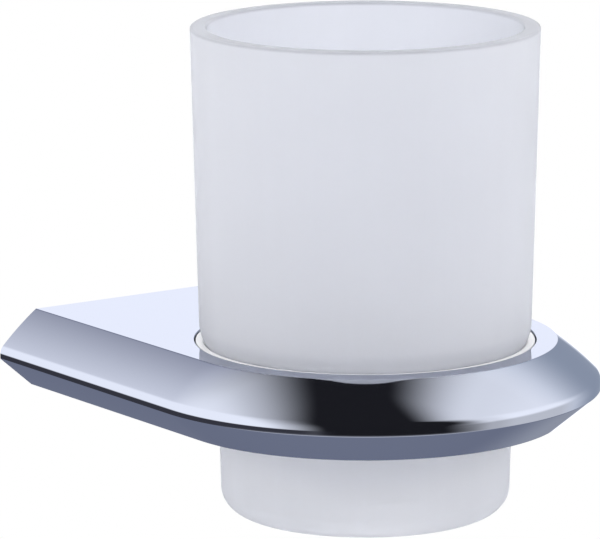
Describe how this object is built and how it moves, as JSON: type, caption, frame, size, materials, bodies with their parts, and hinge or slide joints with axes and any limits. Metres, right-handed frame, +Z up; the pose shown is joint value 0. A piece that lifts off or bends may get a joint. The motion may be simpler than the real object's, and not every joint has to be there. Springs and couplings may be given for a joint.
{
  "type": "wall tumbler holder with tumbler",
  "caption": "Frosted glass bathroom tumbler standing in a chrome wall holder with a bevelled rounded edge and a concealed wall bracket.",
  "frame": {"origin": "on the wall plane, midway between the two wall screws", "axes": "+Y into the wall, -Y out of the wall towards the front, +Z up, +X along the wall"},
  "size_m": [0.0952, 0.1277, 0.0988],
  "materials": {
    "frosted_glass": "frosted all over, satin and nearly opaque",
    "white_liner": "smooth moulded plastic",
    "polished_chrome": "polished and plated, mirror bright",
    "bracket_zinc": "plain die-cast metal",
    "screw_steel": "stainless",
    "grub_steel": "stainless"
  },
  "bodies": {
    "wall_fixing": {"wall_bracket": "bracket_zinc", "wall_screw_left": "screw_steel", "wall_screw_right": "screw_steel"},
    "holder": {"holder_body": "polished_chrome"},
    "grub_left": {"grub_screw_left": "grub_steel"},
    "grub_right": {"grub_screw_right": "grub_steel"},
    "liner": {"liner_ring": "white_liner"},
    "tumbler": {"tumbler": "frosted_glass"}
  },
  "joints": [
    {"name": "holder_pull_off", "type": "slide", "parent": "wall_fixing", "child": "holder", "axis": [0, -1, 0], "range_m": [0, 0.02]},
    {"name": "grub_left_travel", "type": "slide", "parent": "holder", "child": "grub_left", "axis": [0, 0, -1], "range_m": [0, 0.0025]},
    {"name": "grub_right_travel", "type": "slide", "parent": "holder", "child": "grub_right", "axis": [0, 0, -1], "range_m": [0, 0.0025]},
    {"name": "liner_turn", "type": "hinge", "parent": "holder", "child": "liner", "pos_m": [0, -0.0631, 0], "axis": [0, 0, 1], "continuous": true},
    {"name": "tumbler_lift", "type": "slide", "parent": "liner", "child": "tumbler", "axis": [0, 0, 1], "range_m": [0, 0.045]}
  ]
}
